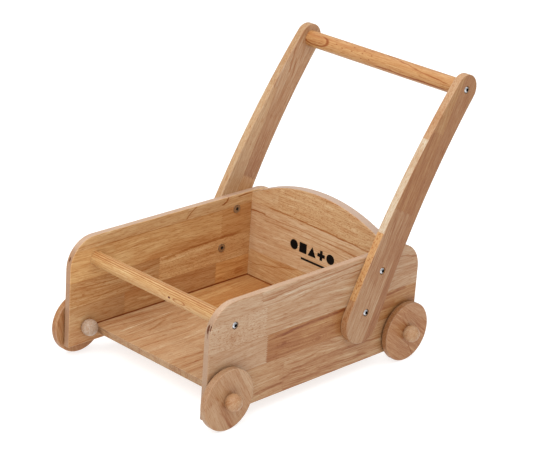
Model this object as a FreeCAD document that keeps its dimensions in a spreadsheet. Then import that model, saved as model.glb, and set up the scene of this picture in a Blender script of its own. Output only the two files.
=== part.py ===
"""Push along truck: a wooden box on four wheels with two curved arms and a handle bar.

Millimetres. +Z is up, the front faces -Y and the truck's left is +X. The origin is the
bottom centre of the whole object's box. Lengths along the truck are measured from the
front edge of the side panels, heights from the ground.
"""
import FreeCAD, Part
import math
import os
import Sketcher

V = FreeCAD.Vector
LEFT, RIGHT = 1, -1
SIDES = {"left": LEFT, "right": RIGHT}
THREE_ACROSS = (-1, 0, 1)
SHORTEST_EDGE = 1.0
FLAT = 1e-6

DIMENSIONS = {
    # box
    "width": 300.0,             # over the outer faces of the side panels
    "board": 10.5,              # boards of the sides, floor and wheels
    "back_board": 16.0,
    "panel_length": 423.0,
    "panel_bottom": 18.0,
    "panel_top": 184.0,
    "corner_radius": 45.0,      # upper corners of the side panels
    "arris": 1.2,               # softened edges
    "floor_front": 47.0,
    "floor_top": 43.5,
    "floor_gap": 0.6,           # round the floor, at the sides and at the back
    "back_front": 360.0,        # front face of the back panel
    "arch_top": 218.0,
    "arch_foot": 181.0,         # height of the arch's ends, at the side panels
    "rail_radius": 11.0,
    "rail_along": 47.0,
    "rail_height": 148.0,
    # arms and handle
    "arm_board": 12.5,
    "arm_foot_along": 294.5,    # centre of the rounded lower end
    "arm_foot_height": 90.0,
    "arm_foot_radius": 34.0,
    "handle_along": 478.0,      # centre of the rounded upper end, and of the bar
    "handle_height": 406.5,
    "arm_top_radius": 22.5,
    "arm_front_radius": 1520.0,
    "arm_rear_radius": 1270.0,
    "handle_radius": 12.5,
    "upper_bolt_along": 327.5,
    "upper_bolt_height": 161.0,
    "lower_bolt_along": 299.5,
    "lower_bolt_height": 103.0,
    # wheels
    "wheel_radius": 45.5,
    "wheel_edge": 2.0,
    "wheel_gap": 2.25,          # between side panel and wheel
    "axle_front": 32.0,
    "axle_rear": 397.0,
    "axle_radius": 5.0,
    "axle_clearance": 0.08,     # running clearance on the radius
    "knob_radius": 12.5,
    "knob_flat": 8.0,           # from the ball's centre to its flat
    "knob_bore_depth": 9.0,
    "knob_play": 0.6,           # between inner knob and side panel
    # bolts, nuts and inserts
    "head_radius": 5.25,
    "head_height": 3.3,
    "head_recess": 2.0,
    "head_recess_radius": 5.75,
    "shank_radius": 3.0,
    "shank_hole": 3.2,
    "long_shank": 40.0,
    "short_shank": 19.0,
    "key_flats": 4.0,
    "key_depth": 2.0,
    "sleeve_radius": 4.0,
    "sleeve_length": 14.0,
    "sleeve_hole": 4.1,
    "flange_radius": 6.5,
    "flange_face_radius": 6.45,
    "flange_height": 1.6,
    "flange_key_flats": 5.0,
    "flange_key_depth": 3.0,
    "insert_radius": 4.5,
    "insert_length": 13.0,
    "thread_clearance": 0.05,
    "pilot_depth": 34.0,
    # glued dowels
    "glue_line": 0.05,
    "bore_spare": 1.0,          # empty length left behind an end in a blind bore
    "pin_radius": 3.0,
    "pin_length": 24.0,
    "pin_socket": 6.5,          # depth of the blind hole in the panel that a pin's end meets
    "pin_spacing": 120.0,
    "pin_pitch_up": 45.0,
    "floor_pin_first": 36.0,    # from the floor's front edge
    "back_pin_first": 36.0,     # from the back panel's bottom edge
    "floor_back_pitch": 90.0,
}


class Size:
    """A length that knows both its value and its formula on the sheet."""

    def __init__(self, value, formula):
        self.value = value
        self.formula = formula

    def __add__(self, other):
        other = size(other)
        return Size(self.value + other.value, f"({self.formula} + {other.formula})")

    def __sub__(self, other):
        other = size(other)
        return Size(self.value - other.value, f"({self.formula} - {other.formula})")

    def __mul__(self, other):
        other = size(other)
        return Size(self.value * other.value, f"({self.formula} * {other.formula})")

    def __truediv__(self, other):
        other = size(other)
        return Size(self.value / other.value, f"({self.formula} / {other.formula})")

    def __neg__(self):
        return Size(-self.value, f"(-1 * {self.formula})")


def size(term):
    return term if isinstance(term, Size) else Size(float(term), repr(float(term)))


def root(term):
    return Size(math.sqrt(term.value), f"sqrt({term.formula})")


class Sheet:
    """The sheet of driving dimensions. Its attributes are Sizes."""

    def __init__(self, doc):
        table = doc.addObject("Spreadsheet::Sheet", "Dims")
        for row, (alias, value) in enumerate(DIMENSIONS.items(), start=1):
            table.set(f"A{row}", alias)
            table.set(f"B{row}", str(value))
            table.setAlias(f"B{row}", alias)
            setattr(self, alias, Size(value, f"Dims.{alias}"))
        doc.recompute()


doc = FreeCAD.newDocument("push_along_truck")
d = Sheet(doc)

half_width = d.width / 2
half_inside = half_width - d.board
object_middle = (d.axle_front - d.wheel_radius + d.handle_along + d.arm_top_radius) / 2
front = -object_middle
floor_bottom = d.floor_top - d.board
floor_length = d.back_front - d.floor_front - d.floor_gap
floor_edge = half_inside - d.floor_gap
pin_bore = d.pin_length - d.pin_socket + d.bore_spare
back_middle = d.back_front + d.back_board / 2
wheel_inner = half_width + d.wheel_gap
wheel_outer = wheel_inner + d.board
knob_height = d.knob_flat + d.knob_radius
arm_bolts = ((d.upper_bolt_along, d.upper_bolt_height), (d.lower_bolt_along, d.lower_bolt_height))


# ---------------------------------------------------------------- drawing and placing

def bind(thing, prop, length):
    thing.setExpression(prop, size(length).formula)


def place(thing, x=0, y=0, z=0, turned=False):
    """Puts a sub-part at x, y, z. A turned one is turned half round about +Z."""
    angle = 180 if turned else 0
    thing.Placement = FreeCAD.Placement(V(0, 0, 0), FreeCAD.Rotation(V(0, 0, 1), angle))
    for axis, length in zip("xyz", (x, y, z)):
        bind(thing, f".Placement.Base.{axis}", length)


def new_body(label):
    body = doc.addObject("PartDesign::Body", label)
    body.Label = label
    return body


def new_sketch(body, role, offset=0):
    """A sketch on one of the body's origin planes, or parallel to it."""
    plane = next(item for item in body.Origin.OriginFeatures if item.Role == role)
    sketch = body.newObject("Sketcher::SketchObject", f"{body.Name}_sketch")
    sketch.AttachmentSupport = [(plane, "")]
    sketch.MapMode = "FlatFace"
    bind(sketch, "AttachmentOffset.Base.z", offset)
    return sketch


def constrain(sketch, length, kind, *where):
    length = size(length)
    index = sketch.addConstraint(Sketcher.Constraint(kind, *where, length.value))
    name = f"{kind}{index}"
    sketch.renameConstraint(index, name)
    bind(sketch, f"Constraints.{name}", length)


def pin_point(sketch, geometry, point, position):
    """Fixes a point of a curve at a position measured from the sketch's origin."""
    across, up = position
    constrain(sketch, across, "DistanceX", -1, 1, geometry, point)
    constrain(sketch, up, "DistanceY", -1, 1, geometry, point)


def flat(position):
    across, up = position
    return V(size(across).value, size(up).value, 0)


def draw_circle(sketch, centre, radius):
    curve = Part.Circle(flat(centre), V(0, 0, 1), size(radius).value)
    circle = sketch.addGeometry(curve, False)
    constrain(sketch, radius, "Radius", circle)
    pin_point(sketch, circle, 3, centre)


def draw_outline(sketch, corners):
    """A closed outline of straight lines through the corners."""
    first = None
    for start, end in zip(corners, corners[1:] + corners[:1]):
        line = sketch.addGeometry(Part.LineSegment(flat(start), flat(end)), False)
        pin_point(sketch, line, 1, start)
        if first is None:
            first = line
        else:
            sketch.addConstraint(Sketcher.Constraint("Coincident", line - 1, 2, line, 1))
    sketch.addConstraint(Sketcher.Constraint("Coincident", line, 2, first, 1))


def rectangle(low, high):
    return [low, (high[0], low[1]), high, (low[0], high[1])]


def add_pad(body, sketch, length, reverse=False):
    pad = body.newObject("PartDesign::Pad", f"{body.Name}_pad")
    pad.Profile = sketch
    pad.Reversed = reverse
    bind(pad, "Length", length)
    doc.recompute()
    return pad


def add_pocket(body, sketch, depth=None, reverse=False):
    """Cuts a sketch out of the body: to a depth, or right through both ways."""
    before = body.Shape.Volume
    pocket = body.newObject("PartDesign::Pocket", f"{body.Name}_pocket")
    pocket.Profile = sketch
    pocket.Reversed = reverse
    if depth is None:
        pocket.Type = "ThroughAll"
        pocket.Midplane = True
    else:
        bind(pocket, "Length", depth)
    doc.recompute()
    if body.Shape.Volume >= before:
        raise ValueError(f"{body.Label}: a pocket cut nothing")


def drill(body, role, offset, centres, radius, depth=None, reverse=False):
    sketch = new_sketch(body, role, offset)
    for centre in centres:
        draw_circle(sketch, centre, radius)
    add_pocket(body, sketch, depth, reverse)


def add_fillet(body, radius, chosen):
    """Rounds the edges of the body's last feature for which chosen(edge) is true."""
    base = body.Tip
    names = [f"Edge{i}" for i, edge in enumerate(base.Shape.Edges, start=1) if chosen(edge)]
    fillet = body.newObject("PartDesign::Fillet", f"{body.Name}_fillet")
    fillet.Base = (base, names)
    bind(fillet, "Radius", radius)
    doc.recompute()


def runs_along(edge, axis):
    """True for an edge that is a straight line along an axis, x, y or z."""
    box = edge.BoundBox
    spans = {"x": box.XLength, "y": box.YLength, "z": box.ZLength}
    across = max(span for name, span in spans.items() if name != axis)
    return spans[axis] > SHORTEST_EDGE and across < FLAT


def lies_flat(edge):
    """True for an edge that lies in a plane square to X, as the rims of a board's faces do."""
    return edge.BoundBox.XLength < FLAT


def revolve(body, sketch):
    """Turns a profile round the sketch's horizontal axis."""
    turn = body.newObject("PartDesign::Revolution", f"{body.Name}_turning")
    turn.Profile = sketch
    turn.ReferenceAxis = (sketch, ["H_Axis"])
    turn.Angle = 360
    doc.recompute()


def hexagon(sketch, across_flats):
    """A regular hexagon about the sketch's origin."""
    half = across_flats / 2
    corner = across_flats / math.sqrt(3)
    draw_outline(sketch, [(corner, size(0)), (corner / 2, half), (-corner / 2, half),
                          (-corner, size(0)), (-corner / 2, -half), (corner / 2, -half)])


def group(label, template, spots):
    """One node of several equal solids. Each spot is an x, y, z and whether it is turned."""
    copies = []
    for spot in spots:
        copy = doc.addObject("App::Link", f"{label}_copy")
        copy.LinkedObject = template
        place(copy, *spot)
        copies.append(copy)
    compound = doc.addObject("Part::Compound", label)
    compound.Label = label
    compound.Links = copies
    return compound


# ---------------------------------------------------------------- box

def floor_pins_along():
    return [d.floor_front + d.floor_pin_first + d.pin_spacing * i for i in range(3)]


def back_pins_up():
    return [floor_bottom + d.back_pin_first + d.pin_pitch_up * i for i in range(3)]


def side_panel(name, side):
    """A long side with rounded upper corners. Local X = 0 is its inner face."""
    body = new_body(f"side_panel_{name}")
    inward = side == RIGHT
    outer_face = d.board * side
    height = d.panel_top - d.panel_bottom
    sketch = new_sketch(body, "YZ_Plane")
    draw_outline(sketch, rectangle((size(0), size(0)), (d.panel_length, height)))
    add_pad(body, sketch, d.board, reverse=inward)
    add_fillet(body, d.corner_radius,
               lambda edge: runs_along(edge, "x") and edge.BoundBox.ZMin > height.value / 2)
    add_fillet(body, d.arris, lies_flat)

    def up(height_above_ground):
        return height_above_ground - d.panel_bottom

    rail = [(d.rail_along, up(d.rail_height))]
    bolts = [(along, up(height)) for along, height in arm_bolts]
    axles = [(along, up(d.wheel_radius)) for along in (d.axle_front, d.axle_rear)]
    floor_pins = [(along, up(floor_bottom + d.board / 2)) for along in floor_pins_along()]
    back_pins = [(back_middle, up(height)) for height in back_pins_up()]
    drill(body, "YZ_Plane", 0, rail, d.shank_hole)
    drill(body, "YZ_Plane", outer_face, rail, d.head_recess_radius, d.head_recess, inward)
    drill(body, "YZ_Plane", 0, bolts, d.sleeve_hole)
    drill(body, "YZ_Plane", 0, axles, d.axle_radius + d.axle_clearance)
    drill(body, "YZ_Plane", 0, floor_pins + back_pins, d.pin_radius + d.glue_line,
          d.pin_socket, not inward)
    place(body, half_inside * side, front, d.panel_bottom)


def floor_panel():
    """The floor, between the sides, from its own front edge to the back panel."""
    body = new_body("floor_panel")
    sketch = new_sketch(body, "XY_Plane")
    draw_outline(sketch, rectangle((-floor_edge, size(0)), (floor_edge, floor_length)))
    add_pad(body, sketch, d.board)
    add_fillet(body, d.arris,
               lambda edge: runs_along(edge, "x") and edge.BoundBox.YMax < SHORTEST_EDGE)
    middle = d.board / 2
    side_pins = [(along - d.floor_front, middle) for along in floor_pins_along()]
    radius = d.pin_radius + d.glue_line
    drill(body, "YZ_Plane", floor_edge, side_pins, radius, pin_bore)
    drill(body, "YZ_Plane", -floor_edge, side_pins, radius, pin_bore, True)
    rear_pins = [(d.floor_back_pitch * i, middle) for i in THREE_ACROSS]
    drill(body, "XZ_Plane", -floor_length, rear_pins, radius, pin_bore, True)
    place(body, 0, front + d.floor_front, floor_bottom)


def back_panel():
    """The back, between the sides, with an arched top. Local Y = 0 is its rear face."""
    body = new_body("back_panel")
    edge_height = d.arch_foot - floor_bottom
    rise = d.arch_top - d.arch_foot
    arch_radius = (half_inside * half_inside + rise * rise) / (rise * 2)
    centre = edge_height + rise - arch_radius
    spread = math.asin(half_inside.value / arch_radius.value)
    sketch = new_sketch(body, "XZ_Plane")
    corners = [(half_inside, edge_height), (half_inside, size(0)),
               (-half_inside, size(0)), (-half_inside, edge_height)]
    for start, end in zip(corners, corners[1:]):
        sketch.addGeometry(Part.LineSegment(flat(start), flat(end)), False)
    circle = Part.Circle(V(0, centre.value, 0), V(0, 0, 1), arch_radius.value)
    arch = Part.ArcOfCircle(circle, math.pi / 2 - spread, math.pi / 2 + spread)
    arc = sketch.addGeometry(arch, False)
    for line, corner in enumerate(corners[:3]):
        pin_point(sketch, line, 1, corner)
    for line in (0, 1):
        sketch.addConstraint(Sketcher.Constraint("Coincident", line, 2, line + 1, 1))
    sketch.addConstraint(Sketcher.Constraint("Coincident", 2, 2, arc, 2))
    sketch.addConstraint(Sketcher.Constraint("Coincident", 0, 1, arc, 1))
    sketch.addConstraint(Sketcher.Constraint("Vertical", 2))
    constrain(sketch, centre, "DistanceY", -1, 1, arc, 3)
    constrain(sketch, 0, "DistanceX", -1, 1, arc, 3)
    add_pad(body, sketch, d.back_board)
    add_fillet(body, d.arris,
               lambda edge: min(edge.BoundBox.ZLength, edge.BoundBox.XLength) > SHORTEST_EDGE)
    middle = -d.back_board / 2
    radius = d.pin_radius + d.glue_line
    side_pins = [(middle, height - floor_bottom) for height in back_pins_up()]
    drill(body, "YZ_Plane", half_inside, side_pins, radius, pin_bore)
    drill(body, "YZ_Plane", -half_inside, side_pins, radius, pin_bore, True)
    floor_pins = [(d.floor_back_pitch * i, d.board / 2) for i in THREE_ACROSS]
    drill(body, "XZ_Plane", d.back_board, floor_pins, radius, d.pin_socket)
    place(body, 0, front + d.back_front + d.back_board, floor_bottom)


def round_bar(label, length, radius, along, height):
    """A round bar across the truck, bored at both ends for a threaded insert and a bolt."""
    body = new_body(label)
    sketch = new_sketch(body, "YZ_Plane", -length / 2)
    centre = (size(0), size(0))
    draw_circle(sketch, centre, radius)
    add_pad(body, sketch, length)
    for bore, depth in ((d.insert_radius + d.glue_line, d.insert_length),
                        (d.shank_hole, d.pilot_depth)):
        drill(body, "YZ_Plane", length / 2, [centre], bore, depth)
        drill(body, "YZ_Plane", -length / 2, [centre], bore, depth, True)
    place(body, 0, front + along, height)


# ---------------------------------------------------------------- arms

def tangent_centre(radius, sign):
    """Centre of an arm edge's arc, which touches both rounded ends.

    The front edge bulges and wraps round the ends (sign -1). The rear edge is hollow and
    meets them from outside (sign +1). Both centres lie low behind the truck.
    """
    foot = V(d.arm_foot_along.value, d.arm_foot_height.value, 0)
    top = V(d.handle_along.value, d.handle_height.value, 0)
    to_foot = radius.value + sign * d.arm_foot_radius.value
    to_top = radius.value + sign * d.arm_top_radius.value
    line = top - foot
    span = line.Length
    line.normalize()
    along = (to_foot ** 2 - to_top ** 2 + span ** 2) / (2 * span)
    out = math.sqrt(to_foot ** 2 - along ** 2)
    return foot + line * along + V(line.y, -line.x, 0) * out


def direction(start, end):
    return math.atan2(end.y - start.y, end.x - start.x)


def handle_arm(name, side):
    """A curved arm that tapers upwards. Local X = 0 is its inner face."""
    body = new_body(f"handle_arm_{name}")
    inward = side == RIGHT
    foot = V(d.arm_foot_along.value, d.arm_foot_height.value, 0)
    top = V(d.handle_along.value, d.handle_height.value, 0)
    ahead = tangent_centre(d.arm_front_radius, -1)
    behind = tangent_centre(d.arm_rear_radius, +1)

    def arc(centre, radius, start, end):
        circle = Part.Circle(centre, V(0, 0, 1), radius.value)
        return sketch.addGeometry(Part.ArcOfCircle(circle, start, end), False)

    sketch = new_sketch(body, "YZ_Plane")
    front_edge = arc(ahead, d.arm_front_radius, direction(ahead, top), direction(ahead, foot))
    foot_end = arc(foot, d.arm_foot_radius, direction(ahead, foot), direction(foot, behind))
    rear_edge = arc(behind, d.arm_rear_radius, direction(behind, top), direction(behind, foot))
    top_end = arc(top, d.arm_top_radius, direction(top, behind), direction(ahead, top))
    meetings = ((front_edge, 2, foot_end, 1), (foot_end, 2, rear_edge, 2),
                (rear_edge, 1, top_end, 1), (top_end, 2, front_edge, 1))
    for one, one_end, other, other_end in meetings:
        sketch.addConstraint(Sketcher.Constraint("Tangent", one, one_end, other, other_end))
    pin_point(sketch, foot_end, 3, (d.arm_foot_along, d.arm_foot_height))
    pin_point(sketch, top_end, 3, (d.handle_along, d.handle_height))
    for edge, radius in ((front_edge, d.arm_front_radius), (foot_end, d.arm_foot_radius),
                         (rear_edge, d.arm_rear_radius), (top_end, d.arm_top_radius)):
        constrain(sketch, radius, "Radius", edge)
    add_pad(body, sketch, d.arm_board, reverse=inward)
    add_fillet(body, d.arris, lies_flat)

    bolts = list(arm_bolts) + [(d.handle_along, d.handle_height)]
    sleeve_depth = d.sleeve_length - d.board + d.bore_spare
    drill(body, "YZ_Plane", 0, bolts, d.shank_hole)
    drill(body, "YZ_Plane", d.arm_board * side, bolts, d.head_recess_radius, d.head_recess, inward)
    drill(body, "YZ_Plane", 0, arm_bolts, d.sleeve_hole, sleeve_depth, not inward)
    place(body, half_width * side, front, 0)


# ---------------------------------------------------------------- wheels

def wheel(label, side, along):
    """A plain disc with rounded rims. Local X = 0 is its inner face."""
    body = new_body(label)
    sketch = new_sketch(body, "YZ_Plane")
    centre = (size(0), size(0))
    draw_circle(sketch, centre, d.wheel_radius)
    add_pad(body, sketch, d.board)
    add_fillet(body, d.wheel_edge, lies_flat)
    drill(body, "YZ_Plane", 0, [centre], d.axle_radius + d.glue_line)
    place(body, wheel_inner * side, front + along, d.wheel_radius, turned=side == RIGHT)


def knob(label, x, along, turned):
    """A turned ball with a flat at local X = 0, bored from the flat for the dowel."""
    body = new_body(label)
    sketch = new_sketch(body, "XY_Plane")
    bore = d.axle_radius + d.glue_line
    flat_radius = root(d.knob_radius * d.knob_radius - d.knob_flat * d.knob_flat)
    corners = [(knob_height, size(0)), (d.knob_bore_depth, size(0)), (d.knob_bore_depth, bore),
               (size(0), bore), (size(0), flat_radius)]
    for line, (start, end) in enumerate(zip(corners, corners[1:])):
        sketch.addGeometry(Part.LineSegment(flat(start), flat(end)), False)
        pin_point(sketch, line, 1, start)
        if line:
            sketch.addConstraint(Sketcher.Constraint("Coincident", line - 1, 2, line, 1))
    circle = Part.Circle(V(d.knob_flat.value, 0, 0), V(0, 0, 1), d.knob_radius.value)
    rim = math.atan2(flat_radius.value, -d.knob_flat.value)
    ball = sketch.addGeometry(Part.ArcOfCircle(circle, 0, rim), False)
    sketch.addConstraint(Sketcher.Constraint("Coincident", 0, 1, ball, 1))
    sketch.addConstraint(Sketcher.Constraint("Coincident", 3, 2, ball, 2))
    sketch.addConstraint(Sketcher.Constraint("Vertical", 3))
    pin_point(sketch, ball, 3, (d.knob_flat, size(0)))
    revolve(body, sketch)
    place(body, x, front + along, d.wheel_radius, turned)


def axle_dowel(label, side, along):
    """The stub axle, from the bottom of one knob's bore to the bottom of the other's."""
    body = new_body(label)
    sketch = new_sketch(body, "YZ_Plane")
    draw_circle(sketch, (size(0), size(0)), d.axle_radius)
    inner_end = half_inside - d.knob_play - d.knob_bore_depth
    outer_end = wheel_outer + d.knob_bore_depth
    add_pad(body, sketch, outer_end - inner_end)
    place(body, inner_end * side, front + along, d.wheel_radius, turned=side == RIGHT)


def wheel_set(corner, side, along):
    inner_flat = half_inside - d.knob_play
    wheel(f"wheel_{corner}", side, along)
    axle_dowel(f"axle_dowel_{corner}", side, along)
    knob(f"outer_knob_{corner}", wheel_outer * side, along, turned=side == RIGHT)
    knob(f"inner_knob_{corner}", inner_flat * side, along, turned=side == LEFT)


# ---------------------------------------------------------------- fasteners

def bolt(label, shank):
    """A button head bolt along X: its head rises from local X = 0, its shank runs to -X."""
    body = new_body(label)
    none = size(0)
    dome = (d.head_radius * d.head_radius + d.head_height * d.head_height) / (d.head_height * 2)
    sketch = new_sketch(body, "XY_Plane")
    corners = [(none, d.head_radius), (none, d.shank_radius), (-shank, d.shank_radius),
               (-shank, none), (d.head_height, none)]
    for line, (start, end) in enumerate(zip(corners, corners[1:])):
        sketch.addGeometry(Part.LineSegment(flat(start), flat(end)), False)
        pin_point(sketch, line, 1, start)
        if line:
            sketch.addConstraint(Sketcher.Constraint("Coincident", line - 1, 2, line, 1))
    centre = d.head_height - dome
    circle = Part.Circle(V(centre.value, 0, 0), V(0, 0, 1), dome.value)
    rim = math.atan2(d.head_radius.value, -centre.value)
    head = sketch.addGeometry(Part.ArcOfCircle(circle, 0, rim), False)
    sketch.addConstraint(Sketcher.Constraint("Coincident", 3, 2, head, 1))
    sketch.addConstraint(Sketcher.Constraint("Coincident", 0, 1, head, 2))
    sketch.addConstraint(Sketcher.Constraint("Horizontal", 3))
    pin_point(sketch, head, 3, (centre, none))
    revolve(body, sketch)
    key = new_sketch(body, "YZ_Plane", d.head_height)
    hexagon(key, d.key_flats)
    add_pocket(body, key, d.key_depth)
    return body


def sleeve_nut(label):
    """A flanged sleeve nut along X: flange on -X of local X = 0, sleeve on +X."""
    body = new_body(label)
    none = size(0)
    thread = d.shank_radius + d.thread_clearance
    sketch = new_sketch(body, "XY_Plane")
    draw_outline(sketch, [(-d.flange_height, none), (-d.flange_height, d.flange_face_radius),
                          (none, d.flange_radius), (none, d.sleeve_radius),
                          (d.sleeve_length, d.sleeve_radius), (d.sleeve_length, none)])
    revolve(body, sketch)
    key_end = d.flange_key_depth - d.flange_height
    drill(body, "YZ_Plane", d.sleeve_length, [(none, none)], thread, d.sleeve_length - key_end)
    key = new_sketch(body, "YZ_Plane", -d.flange_height)
    hexagon(key, d.flange_key_flats)
    add_pocket(body, key, d.flange_key_depth, True)
    return body


def threaded_insert(label):
    """A threaded insert along X, with its outer end at local X = 0."""
    body = new_body(label)
    centre = (size(0), size(0))
    sketch = new_sketch(body, "YZ_Plane")
    draw_circle(sketch, centre, d.insert_radius)
    add_pad(body, sketch, d.insert_length, reverse=True)
    drill(body, "YZ_Plane", 0, [centre], d.shank_radius + d.thread_clearance)
    return body


def wooden_pin(label):
    """A glued wooden dowel pin that runs to -X from local X = 0."""
    body = new_body(label)
    sketch = new_sketch(body, "YZ_Plane")
    draw_circle(sketch, (size(0), size(0)), d.pin_radius)
    add_pad(body, sketch, d.pin_length, reverse=True)
    return body


def both_sides(x, along, height):
    """The same spot on the left and, turned to face outwards, on the right."""
    return [(x * side, front + along, height, side == RIGHT) for side in (LEFT, RIGHT)]


def fasteners():
    long_bolt = bolt("long_bolt_pattern", d.long_shank)
    short_bolt = bolt("short_bolt_pattern", d.short_shank)
    nut = sleeve_nut("sleeve_nut_pattern")
    insert = threaded_insert("insert_pattern")
    pin = wooden_pin("pin_pattern")
    rail_seat = half_width - d.head_recess
    arm_seat = half_width + d.arm_board - d.head_recess
    group("rail_bolts", long_bolt, both_sides(rail_seat, d.rail_along, d.rail_height))
    group("rail_inserts", insert, both_sides(half_inside, d.rail_along, d.rail_height))
    group("handle_bar_bolts", long_bolt, both_sides(arm_seat, d.handle_along, d.handle_height))
    group("handle_bar_inserts", insert, both_sides(half_width, d.handle_along, d.handle_height))
    for name, side in SIDES.items():
        turned = side == RIGHT
        group(f"arm_bolts_{name}", short_bolt,
              [(arm_seat * side, front + along, height, turned) for along, height in arm_bolts])
        group(f"sleeve_nuts_{name}", nut,
              [(half_inside * side, front + along, height, turned) for along, height in arm_bolts])
    pin_end = half_inside + d.pin_socket
    floor_middle = floor_bottom + d.board / 2
    floor_pins = [spot for along in floor_pins_along()
                  for spot in both_sides(pin_end, along, floor_middle)]
    back_pins = [spot for height in back_pins_up()
                 for spot in both_sides(pin_end, back_middle, height)]
    group("floor_side_dowels", pin, floor_pins)
    group("back_panel_dowels", pin, back_pins)
    return [long_bolt, short_bolt, nut, insert, pin]


def floor_back_dowels():
    """Glued dowels along the truck, between the floor's rear edge and the back panel."""
    pins = []
    for i in THREE_ACROSS:
        pin = doc.addObject("Part::Cylinder", "floor_back_pin")
        bind(pin, "Radius", d.pin_radius)
        bind(pin, "Height", d.pin_length)
        pin.Placement = FreeCAD.Placement(V(0, 0, 0), FreeCAD.Rotation(V(1, 0, 0), 90))
        bind(pin, ".Placement.Base.x", d.floor_back_pitch * i)
        bind(pin, ".Placement.Base.y", front + d.back_front + d.pin_socket)
        bind(pin, ".Placement.Base.z", floor_bottom + d.board / 2)
        pins.append(pin)
    compound = doc.addObject("Part::Compound", "floor_back_dowels")
    compound.Label = "floor_back_dowels"
    compound.Links = pins


# ---------------------------------------------------------------- the whole truck

def check():
    """Stops if any object failed, or any sub-part has no sound shape."""
    doc.recompute()
    for thing in doc.Objects:
        if "Invalid" in thing.State or "Error" in thing.State:
            raise ValueError(f"{thing.Label}: {thing.State}")


def sub_parts(patterns):
    """The bodies and groups that are pieces of the truck, without the pattern bodies."""
    kinds = ("PartDesign::Body", "Part::Compound")
    return [thing for thing in doc.Objects if thing.TypeId in kinds and thing not in patterns]


def write(pieces):
    os.makedirs("parts", exist_ok=True)
    for piece in pieces:
        shape = piece.Shape
        if shape.isNull() or not shape.isValid():
            raise ValueError(f"{piece.Label}: bad shape")
        print(f"{piece.Label}: {len(shape.Solids)} solid(s), {shape.Volume / 1000:.2f} cm3")
    for piece in pieces:
        piece.Shape.exportStep(f"parts/{piece.Label}.step")


for name, side in SIDES.items():
    side_panel(name, side)
    handle_arm(name, side)
    wheel_set(f"front_{name}", side, d.axle_front)
    wheel_set(f"rear_{name}", side, d.axle_rear)
floor_panel()
back_panel()
round_bar("front_rail", half_inside * 2, d.rail_radius, d.rail_along, d.rail_height)
round_bar("handle_bar", d.width, d.handle_radius, d.handle_along, d.handle_height)
patterns = fasteners()
floor_back_dowels()
check()
write(sub_parts(patterns))
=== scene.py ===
"""Looks of the push along truck: laminated rubberwood boards, turned knobs and plated bolts."""

import math

import bmesh
import bpy
from mathutils import Matrix, Vector


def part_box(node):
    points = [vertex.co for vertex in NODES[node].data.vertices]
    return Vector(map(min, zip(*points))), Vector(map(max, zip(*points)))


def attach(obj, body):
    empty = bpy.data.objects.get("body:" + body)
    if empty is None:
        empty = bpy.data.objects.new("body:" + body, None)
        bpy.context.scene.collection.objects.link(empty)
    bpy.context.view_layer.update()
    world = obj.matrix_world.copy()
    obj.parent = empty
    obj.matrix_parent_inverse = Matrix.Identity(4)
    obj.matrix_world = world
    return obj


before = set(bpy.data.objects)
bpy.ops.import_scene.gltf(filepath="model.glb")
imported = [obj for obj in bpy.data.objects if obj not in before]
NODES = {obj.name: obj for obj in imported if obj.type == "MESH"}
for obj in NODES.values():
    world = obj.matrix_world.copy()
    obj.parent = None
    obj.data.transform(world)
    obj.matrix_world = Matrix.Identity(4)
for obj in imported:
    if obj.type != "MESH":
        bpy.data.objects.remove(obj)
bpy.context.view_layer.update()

MM = 0.001
PANEL_LOW, PANEL_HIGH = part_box("side_panel_left")
FRONT = PANEL_LOW.y / MM  # Y of the side panels' front edges, from which "along" is measured

# Clear-lacquered rubberwood, as linear colours.
PALE = (0.505, 0.322, 0.193, 1)
YELLOW = (0.525, 0.315, 0.143, 1)
# Pale sanded wood, put on arrises and edges partly as sanded wear and partly as a painted highlight.
SANDED_AND_HIGHLIGHT = (0.47, 0.34, 0.25, 1)
DULL = (0.8, 0.8, 0.8, 1)
CHARRED = (0.14, 0.04, 0.01, 1)
SOCKET_SHADE = 1.0  # mm that the shadow inside a bolt's socket leans to the rear
BOLTS = [(47.0, 148.0), (327.5, 161.0), (299.5, 103.0), (478.0, 406.5)]  # along and height, mm
STAIN = 0.288  # how fast red falls with stain density; green falls twice and blue three times
STAIN_AND_SHADE_DENSITY = 2.4  # stain density of a streak or knot of strength 1, and the darkness of a painted shade line
SEAM_STAIN = 0.55  # stain density of a glue seam
BEYOND = 900.0  # mm, past the ends of every board
TOOTH_PITCH = 3.3  # mm, of the finger joints
BAR_RADIUS = 12.5  # mm
RAIL_MM_PER_DEGREE = 0.19  # round the rail's surface
FLOOR_DROP = 0.0002  # m that the studio floor lies below the wheels


# ---------------------------------------------------------------- shader building blocks


class Wire:
    """A number in a shader tree. Arithmetic on it adds Math nodes."""

    def __init__(self, tree, socket):
        self.tree = tree
        self.socket = socket

    def math(self, operation, *others):
        node = self.tree.nodes.new("ShaderNodeMath")
        node.operation = operation
        for slot, value in zip(node.inputs, (self, *others)):
            feed(self.tree, slot, value)
        return Wire(self.tree, node.outputs[0])

    def __add__(self, other):
        return self.math("ADD", other)

    def __radd__(self, other):
        return self.math("ADD", other)

    def __sub__(self, other):
        return self.math("SUBTRACT", other)

    def __rsub__(self, other):
        return self.math("MULTIPLY_ADD", -1.0, other)

    def __mul__(self, other):
        return self.math("MULTIPLY", other)

    def __rmul__(self, other):
        return self.math("MULTIPLY", other)

    def __truediv__(self, other):
        return self.math("DIVIDE", other)

    def __neg__(self):
        return self.math("MULTIPLY", -1.0)

    def least(self, other):
        return self.math("MINIMUM", other)

    def most(self, other):
        return self.math("MAXIMUM", other)

    def size(self):
        return self.math("ABSOLUTE")

    def fraction(self):
        return self.math("FRACT")

    def ramp(self, low, high):
        """0 below low and 1 above high, with a smooth rise between them."""
        node = self.tree.nodes.new("ShaderNodeMapRange")
        node.interpolation_type = "SMOOTHSTEP"
        for slot, value in zip(node.inputs, (self, low, high, 0.0, 1.0)):
            feed(self.tree, slot, value)
        return Wire(self.tree, node.outputs[0])


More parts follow.
